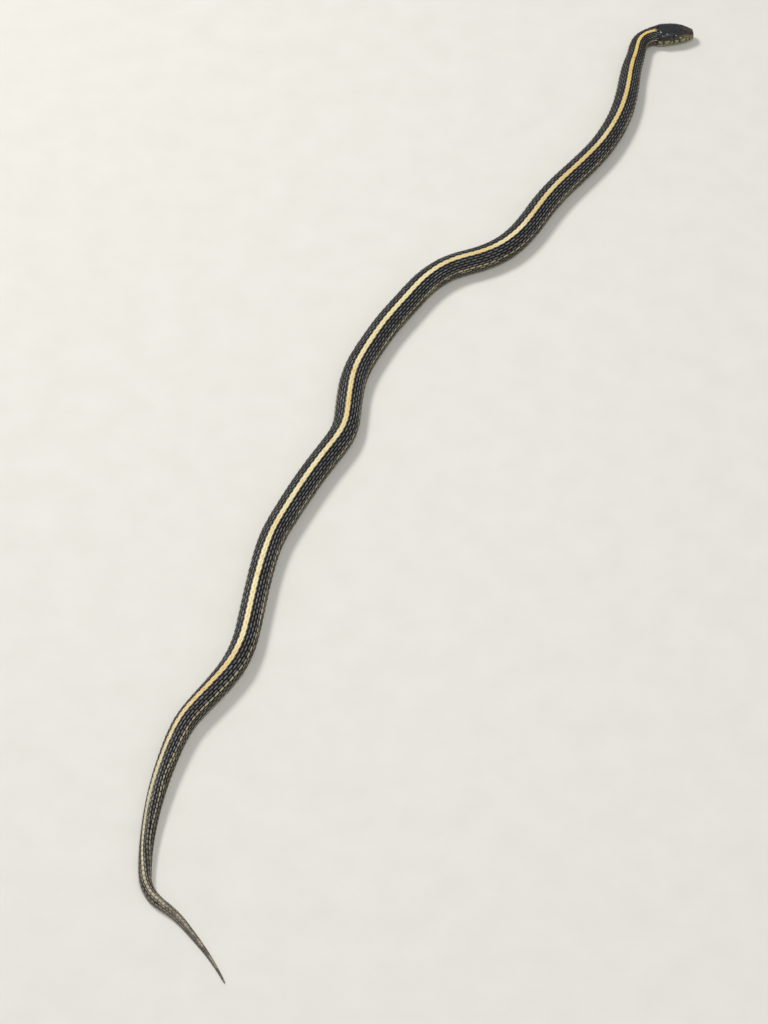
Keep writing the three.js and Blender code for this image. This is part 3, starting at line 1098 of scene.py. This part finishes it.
def lay_shield(name, corners, side, jaw):
    """One shield on the head: its points, faces and what its material reads."""
    span = LOWER_SPAN if jaw else UPPER_SPAN
    turn = -side if jaw else side
    flat_corners = np.array(corners) * (1, span * turn)
    piece, edges = cut_shield(flat_corners)
    if name in ("prenasal", "postnasal"):
        bore(piece, nostril_outline(side))
    if name.startswith(ROUND_THE_EYE):
        bore(piece, eye_outline(side))
    model = read_model(piece)
    points = model["points"]
    to_rim = np.min([(at - points[:, :2]) @ outwards for at, outwards in edges], 0).clip(0)
    distance = points[:, 0]
    way = points[:, 1] / span
    lips = np.interp(distance, stations, lip_shares)
    share = 0.5 + way * (0.5 - lips) if jaw else way * lips
    depth = coat_depth(distance)
    rise = -0.05 * (1 - smoothstep(0, 2 * RIM, to_rim))
    rise = rise - REAR_SINKS * smoothstep(*REAR_OF_CROWN, distance) * (not jaw)
    height = np.where(points[:, 2] > 0.5, rise, -depth - 0.04)
    down = 2 - np.abs(way) if jaw else np.abs(way)
    inward = (distance - distance.min()) / np.ptp(distance)
    tone = random.uniform()
    patch = np.stack([0.02 + 0.043 * distance, (share % 1) * 0.96 + 0.02], 1)
    outer = np.where(points[:, 2] > 0.5, 1, UNDERSIDE_REACH)[:, None]
    patch = patch.mean(0) + (patch - patch.mean(0)) * outer
    return {
        "places": on_snake(distance, share, height),
        "faces": model["faces"],
        "on_snake": np.stack([distance, down, np.full(len(down), SHIELD_ROW)], 1),
        "on_scale": np.stack([to_rim, inward, np.full(len(down), tone)], 1),
        "patch": patch,
    }


laid = []
for side in (1, -1):
    for name, corners in UPPER_SHIELDS.items():
        laid.append(lay_shield(name, corners, side, False))
    for name, corners in LOWER_SHIELDS.items():
        laid.append(lay_shield(name, corners, side, True))
for table, jaw in ((UPPER_MIDDLE_SHIELDS, False), (LOWER_MIDDLE_SHIELDS, True)):
    for name, corners in table.items():
        mirrored = [(at, -way) for at, way in corners if way > 0][::-1]
        laid.append(lay_shield(name, corners + mirrored, 1, jaw))


def join_laid(name, laid):
    """Joins shields that each have a shape of their own into one piece."""
    starts = np.cumsum([0] + [len(each["places"]) for each in laid[:-1]])
    faces = [
        [point + start for point in face]
        for each, start in zip(laid, starts)
        for face in each["faces"]
    ]
    together = {
        key: np.concatenate([each[key] for each in laid])[None]
        for key in ("places", "on_snake", "on_scale", "patch")
    }
    return build_mesh(
        name, together["places"], faces, together["on_snake"], together["on_scale"],
        together["patch"], np.zeros((1, 2)),
    )


shields = join_laid("head_shields", laid)

# %% [markdown]
# ## The throat
# Between the chin shields and the first scute the throat is covered by small smooth scales. The
# function that laid the scutes lays them too, in five rows, every other one half a step back.

# %% The scales of the throat
THROAT_STEP, THROAT_ROW, THROAT_GIRTH, THROAT_LAP, THROAT_PATCH = 1.95, 1.5, 31, 1.15, 8
throat_places = []
for column in range(-2, 3):
    first = 13.3 + 0.5 * THROAT_STEP * (column % 2) + 0.2 * abs(column)
    for at in np.arange(first, THROAT_ENDS, THROAT_STEP):
        throat_places.append((at, 0.5 + column * THROAT_ROW / THROAT_GIRTH))
throat_at, throat_middles = np.array(throat_places).T
smooth = read_model(smooth_scale)
throat = lay_plates(
    "scales_of_the_throat",
    smooth,
    throat_at,
    throat_middles,
    np.full(len(throat_at), THROAT_STEP),
    np.full(len(throat_at), THROAT_ROW / THROAT_GIRTH * THROAT_LAP),
    THROAT_SCALE_ROW,
    np.stack([0.05 + 0.9 * (throat_at - 13) / 10, 0.5 + (throat_middles - 0.5) * 4], 1),
    patches_of(smooth, len(throat_at)) * THROAT_PATCH,
)

# %% [markdown]
# ## The eyes
# The eye is a ball under a fixed clear scale, so it never blinks and always shines. The pupil is
# round, with a thin golden line round it, in a dark brown iris. A ball of fine faces carries the
# whole look, and each point knows how far it is from the axis that the eye looks along. It sits
# so deep that only a low dome stands out of a narrow ring of skin.

# %% Eyeballs and rims
EYE_FORWARD = math.radians(7)
RIM_THICKNESS = 0.1


def outward_turn(side, forward):
    """The way straight out to a side of the head, turned forward by an angle."""
    across = math.pi / 2 + forward
    return float(heading(EYE_FROM_SNOUT)) + (across if side == "right" else -across)


eyes = {}
for side, centre in eye_centres.items():
    turn = outward_turn(side, EYE_FORWARD)
    bpy.ops.object.select_all(action="DESELECT")
    bpy.ops.mesh.primitive_uv_sphere_add(
        segments=64, ring_count=32, radius=EYE_RADIUS * MM, location=centre * MM,
        rotation=(math.pi / 2, 0, turn + math.pi / 2),
    )
    eye = bpy.context.object
    eye.name = f"eyeball_{side}"
    set_number(eye.data, "off_axis", np.hypot(*get_points(eye.data)[:, :2].T) / MM)
    bpy.ops.object.transform_apply(location=True, rotation=True, scale=True)
    bpy.ops.object.shade_smooth()
    eyes[side] = eye

rims = []
for side, centre in eye_centres.items():
    turn = outward_turn(side, 0)
    off = np.array([math.cos(turn), math.sin(turn), 0]) * BALL_AT_RIM
    bpy.ops.object.select_all(action="DESELECT")
    bpy.ops.mesh.primitive_torus_add(
        major_segments=48, minor_segments=10, major_radius=(EYE_OPENING + 0.03) * MM,
        minor_radius=RIM_THICKNESS * MM, location=(centre + off) * MM,
        rotation=(math.pi / 2, 0, turn + math.pi / 2),
    )
    bpy.ops.object.transform_apply(location=True, rotation=True, scale=True)
    bpy.ops.object.shade_smooth()
    rims.append(bpy.context.object)
choose(rims[1], rims[0])
bpy.ops.object.join()
eye_rims = bpy.context.object
eye_rims.name = "rims_of_the_eyes"
print("eyes at", [np.round(centre, 2).tolist() for centre in eye_centres.values()])

# %% [markdown]
# ## The markings
# Skin and scales carry the same markings, so one function paints them by place: how far from the
# snout, and how many rows from the middle of the back. The stripe down the back takes the middle
# row and most of the inner half of each row beside it. Between the stripes the scales are
# charcoal, a little browner here and there, and the belly is a pale greyish olive. Over the tail
# the charcoal turns to a mottled brown and the stripe to a mottled tan.


# %% Painting by place
def read_vector(tree, name):
    """The three numbers that set_vector stored at each point."""
    made = add_node(tree, "ShaderNodeAttribute", attribute_name=name, attribute_type="GEOMETRY")
    parts = add_node(tree, "ShaderNodeSeparateXYZ", {"Vector": made.outputs["Vector"]})
    return parts.outputs[:]


def read_number(tree, name):
    """The number that set_number stored at each point."""
    made = add_node(tree, "ShaderNodeAttribute", attribute_name=name, attribute_type="GEOMETRY")
    return made.outputs["Fac"]


def paint_snake(tree, distance, rows_off, tone):
    """The colour by place. Also gives the share of the stripe in it, and the mottling."""
    where = object_place(tree)
    mottle, broad = noise(tree, where, 260.0), noise(tree, where, 22.0, 2.0)
    tail_brown = coats(tree, "544C42", ("221E1A", mottle, 0.35, 0.65))
    dark = coats(
        tree,
        "0B0B0C",
        ("131211", tone, 0.2, 1.0),
        ("15100C", mottle, 0.5, 0.75),
        ("2C291F", rows_off, 7.2, 8.4, 0.0, 0.6),
        (tail_brown, distance, 585.0, 640.0),
        (mix(tree, mottle, "A5A18A", "8B8878"), rows_off, 9.55, 9.75),
    )
    tail_tan = coats(tree, "A89C86", ("6A6053", mottle, 0.42, 0.62))
    straw = coats(
        tree,
        "EEDFAC",
        ("E2C684", broad, 0.4, 0.64),
        ("E6C85E", distance, 30.0, 90.0, 0.6, 0.0),
        ("C9A25A", mottle, 0.55, 0.8, 0.0, 0.6),
        ("CBBF9C", distance, 520.0, 590.0),
        (tail_tan, distance, 600.0, 655.0),
    )
    edge = maths(tree, "MULTIPLY_ADD", mottle, 0.2, rows_off)
    for start, end, drawn_in in ((565.0, 618.0, 0.4), (612.0, 640.0, -0.1)):
        edge = plus(tree, edge, ramp(tree, distance, start, end, 0.0, drawn_in))
    stripe = times(tree, ramp(tree, edge, 1.02, 0.92), ramp(tree, distance, 19.6, 22.4))
    return mix(tree, stripe, dark, straw), stripe, mottle

# %% [markdown]
# ## Horn over the body
# The scales are thin plates of keratin, the stuff of fingernails. Dry and unpolished it has a
# satin sheen: an index of refraction of 1.55 and a roughness of about 0.4. A pale streak along
# each keel is a painted highlight, the light that the keel catches, and it is also given more
# shine; the horn beside it is dull and dark. On the stripe the root of each scale is painted
# darker instead, a painted shadow of the scale that lies over it. The pale side stripe is not a
# painted line but a blot on each scale of the fourth row from below, and a weaker one on the
# third.

# %% The scale material
HORN_IOR = 1.55
# The row of a pale blot, then how a scale's tone sets how strong the blot is.
SIDE_STRIPE = {6.0: (0.0, 0.5, 0.45, 1.0), 7.0: (0.4, 1.0, 0.0, 0.6)}
scale_horn, tree = new_material("keeled_keratin_scale")
distance, _, rows_off = read_vector(tree, "on_snake")
along_scale, across_scale, tone = read_vector(tree, "on_scale")
off_tip = maths(tree, "ABSOLUTE", maths(tree, "SUBTRACT", along_scale, 0.25))
toothed = maths(tree, "MULTIPLY_ADD", off_tip, 0.2, rows_off)
body, stripe, mottle = paint_snake(tree, distance, toothed, tone)

# Painted highlight: a pale streak along each keel, where the keel catches the light. The same
# length along the scale also bounds the pale blots of the side stripe.
highlight_and_blot_length = times(
    tree, ramp(tree, along_scale, -0.4, -0.15), ramp(tree, along_scale, 0.7, 0.45)
)
off_keel = maths(tree, "ABSOLUTE", across_scale)
narrowing = plus(tree, off_keel, ramp(tree, along_scale, 0.1, 0.7, 0.0, 0.16))
lens = times(tree, highlight_and_blot_length, ramp(tree, narrowing, 0.34, 0.16))
# Colours of the painted keel highlight, differing from scale to scale and browner towards the
# tail.
painted_highlight_grey = coats(
    tree,
    mix(tree, tone, "4C4C4F", "757572"),
    ("554B40", mottle, 0.45, 0.75),
    ("7D7358", rows_off, 6.6, 7.6, 0.0, 0.7),
    ("5A5144", distance, 540.0, 600.0),
    (mix(tree, tone, "6F675B", "9A9080"), distance, 600.0, 640.0),
)
off_stripe = maths(tree, "SUBTRACT", 1.0, stripe)
body = mix(tree, times(tree, lens, off_stripe), body, painted_highlight_grey)

# Painted shadow: the root of each stripe scale is darker where the scale before it lies over it,
# stronger and browner on the tail.
root_shade = times(
    tree, ramp(tree, along_scale, 0.1, -0.24), ramp(tree, distance, 570.0, 620.0, 0.25, 0.8)
)
root_shadow_colour = coats(tree, "A8843F", ("3E362E", distance, 560.0, 610.0))
body = mix(tree, times(tree, stripe, root_shade), body, root_shadow_colour)

ragged = maths(tree, "MULTIPLY_ADD", mottle, 0.35, narrowing)
blot = times(tree, highlight_and_blot_length, ramp(tree, ragged, 0.62, 0.44))
in_rows = 0.0
for row, by_tone in SIDE_STRIPE.items():
    in_row = maths(tree, "COMPARE", read_number(tree, "row"), row, 0.3)
    in_rows = maths(tree, "MULTIPLY_ADD", in_row, ramp(tree, tone, *by_tone), in_rows)
pale_share = times(tree, times(tree, blot, in_rows), 0.9)
cream = coats(tree, mix(tree, mottle, "D2C49A", "A99872"), ("8F8873", distance, 530.0, 612.0))
body = mix(tree, pale_share, body, cream)

roughness = ramp(tree, mottle, 0.2, 0.8, 0.34, 0.46)
shine = maths(tree, "MULTIPLY_ADD", stripe, 0.15, ramp(tree, lens, 0.0, 1.0, 0.14, 0.55))
grain = noise(tree, object_place(tree), 3200.0, 2.0)
finish_material(tree, body, roughness, HORN_IOR, grain, 0.00001, Specular_IOR_Level=shine)

# %% [markdown]
# ## Skin between the scales
# Where the scales stand apart the skin shows, thin, soft and nearly black, without their sheen.
# The same function paints it, and a dark colour is then laid over most of it. The creases are
# finer than its faces, so they are only a bump on the shading.

# %% The skin material
bare_skin, tree = new_material("skin_between_the_scales")
distance, _, rows_off = read_vector(tree, "on_snake")
body = paint_snake(tree, distance, rows_off, 0.5)[0]
body = coats(tree, body, ("0B0A0A", distance, 668.0, 677.0, 0.72, 0.1))
creases = noise(tree, object_place(tree), 1500.0, 4.0)
finish_material(tree, body, 0.75, 1.4, creases, 0.00008, Specular_IOR_Level=0.2)

# %% [markdown]
# ## Belly scutes
# The scutes are smoother than the scales and slightly pearly. Each has a dark spot at its ends,
# near the front edge, and a thin pale rear margin.

# %% The scute material
scute_horn, tree = new_material("smooth_keratin_scute")
along_scale, across_scale, tone = read_vector(tree, "on_scale")
mottle = noise(tree, object_place(tree), 260.0)
pearl = coats(
    tree,
    "ABA78E",
    ("9A9684", tone, 0.0, 1.0),
    ("85866F", mottle, 0.45, 0.8),
    ("C5C3A6", along_scale, 0.5, 0.72),
)
off_middle = maths(tree, "ABSOLUTE", across_scale)
spot = times(tree, ramp(tree, off_middle, 0.8, 0.9), ramp(tree, along_scale, 0.35, 0.1))
finish_material(tree, mix(tree, spot, pearl, "1C1B19"), 0.38, HORN_IOR, mottle, 0.00003)

# %% [markdown]
# ## Shields of the head
# The shields are the smoothest and glossiest horn on the snake. The crown is charcoal, browner
# towards the snout. The lip shields are pale olive yellow with dark rims, and the jaw and throat
# are paler still.


# %% The shield material
def spot_on(tree, distance, down, middle, reaches, fine):
    """A ragged spot on the head and its dark surround, by its middle and its reach."""
    squares = []
    for value, at, reach in zip((distance, down), middle, reaches):
        off = maths(tree, "DIVIDE", maths(tree, "SUBTRACT", value, at), reach)
        squares.append(times(tree, off, off))
    ragged = maths(tree, "MULTIPLY_ADD", fine, 3.0, plus(tree, *squares))
    return ramp(tree, ragged, 2.7, 1.9), ramp(tree, ragged, 4.4, 3.4)


shield_horn, tree = new_material("polished_keratin_shield")
distance, down, _ = read_vector(tree, "on_snake")
to_rim, inward, _ = read_vector(tree, "on_scale")
where = object_place(tree)
mottle, broad = noise(tree, where, 420.0, 4.0), noise(tree, where, 130.0, 2.0)
fine = noise(tree, where, 1500.0, 4.0)
crown = coats(
    tree,
    "4A3A30",
    ("242529", distance, 2.5, 9.8),
    ("141416", mottle, 0.48, 0.7, 0.0, 0.75),
    ("4A4640", fine, 0.55, 0.72, 0.0, 0.5),
)
cheek = coats(
    tree, "75663F", ("2B281F", distance, 4.6, 9.2), ("1B1812", fine, 0.5, 0.7, 0.0, 0.6)
)
upper = coats(tree, crown, (cheek, down, 0.42, 0.56))
spot, surround = spot_on(tree, distance, down, (8.05, 0.66), (0.62, 0.058), fine)
upper = mix(tree, surround, upper, "16130E")
upper = mix(tree, spot, upper, mix(tree, fine, "D8CDA6", "A99C74"))
ragged_rim = maths(tree, "MULTIPLY_ADD", fine, -0.45, to_rim)
lips = coats(
    tree,
    mix(tree, broad, "B2A67C", "81765A"),
    ("51482F", fine, 0.5, 0.7, 0.0, 0.6),
    ("191610", ragged_rim, 0.24, 0.02),
    ("191610", inward, 0.68, 0.86),
)
upper_edge = maths(tree, "MULTIPLY_ADD", broad, 0.12, down)
upper = coats(tree, upper, (lips, upper_edge, 0.81, 0.87), ("1A1611", down, 0.965, 0.99))
jaw = coats(
    tree,
    mix(tree, broad, "BDB793", "9C9A76"),
    ("3A3629", ragged_rim, -0.02, -0.18),
    ("1A1611", down, 1.06, 1.03),
)
painted = coats(tree, upper, (jaw, down, 1.0, 1.01))
gloss = ramp(tree, mottle, 0.3, 0.7, 0.13, 0.26)
finish_material(tree, painted, gloss, HORN_IOR, fine, 0.00003)

# %% [markdown]
# ## Eyes
# The clear scale over the eye is as smooth as glass and always wet-looking, which is a clear coat
# on the shader. Under it are the black pupil, the golden line round it and the brown iris.

# %% The eye materials
eye_gloss, tree = new_material("clear_scale_over_the_eye")
off_axis = read_number(tree, "off_axis")
streaks = noise(tree, object_place(tree), 5000.0, 3.0)
iris = coats(
    tree,
    mix(tree, streaks, "21170F", "46321E"),
    ("0C0907", off_axis, 1.15, 1.42),
    ("9C8355", off_axis, 1.025, 0.99),
    ("020202", off_axis, 0.97, 0.93),
)
finish_material(tree, iris, 0.35, 1.376, Coat_Weight=1.0, Coat_Roughness=0.02, Coat_IOR=1.42)

rim_skin, tree = new_material("skin_rim_of_the_eye")
rim_noise = noise(tree, object_place(tree), 2500.0)
rim_colour = mix(tree, rim_noise, "15130F", "3A3324")
finish_material(tree, rim_colour, 0.45, 1.5, rim_noise, 0.00003)

# %% [markdown]
# ## Handing the pieces over
# Each piece is given its material and rides on the one body of the model. The skin replaces
# every solid of flesh, and each eyeball the solid of its eye.

# %% Pieces and solids
finishes = [
    (skin, bare_skin, "scaly_back"),
    (back_scales, scale_horn, "scaly_back"),
    (right_scales, scale_horn, "scaly_back"),
    (left_scales, scale_horn, "scaly_back"),
    (belly, scute_horn, "jaw_shields"),
    (throat, scute_horn, "jaw_shields"),
    (shields, shield_horn, "head_shields"),
    (eye_rims, rim_skin, "head_shields"),
    (eyes["right"], eye_gloss, "eye"),
    (eyes["left"], eye_gloss, "eye"),
]
for piece, material, slot in finishes:
    piece.data.materials.clear()
    piece.data.materials.append(material)
    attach(piece, "root")
flesh = [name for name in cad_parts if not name.startswith("eye")]
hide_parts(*flesh)
for side, eye in eyes.items():
    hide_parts(f"eye_{side}")
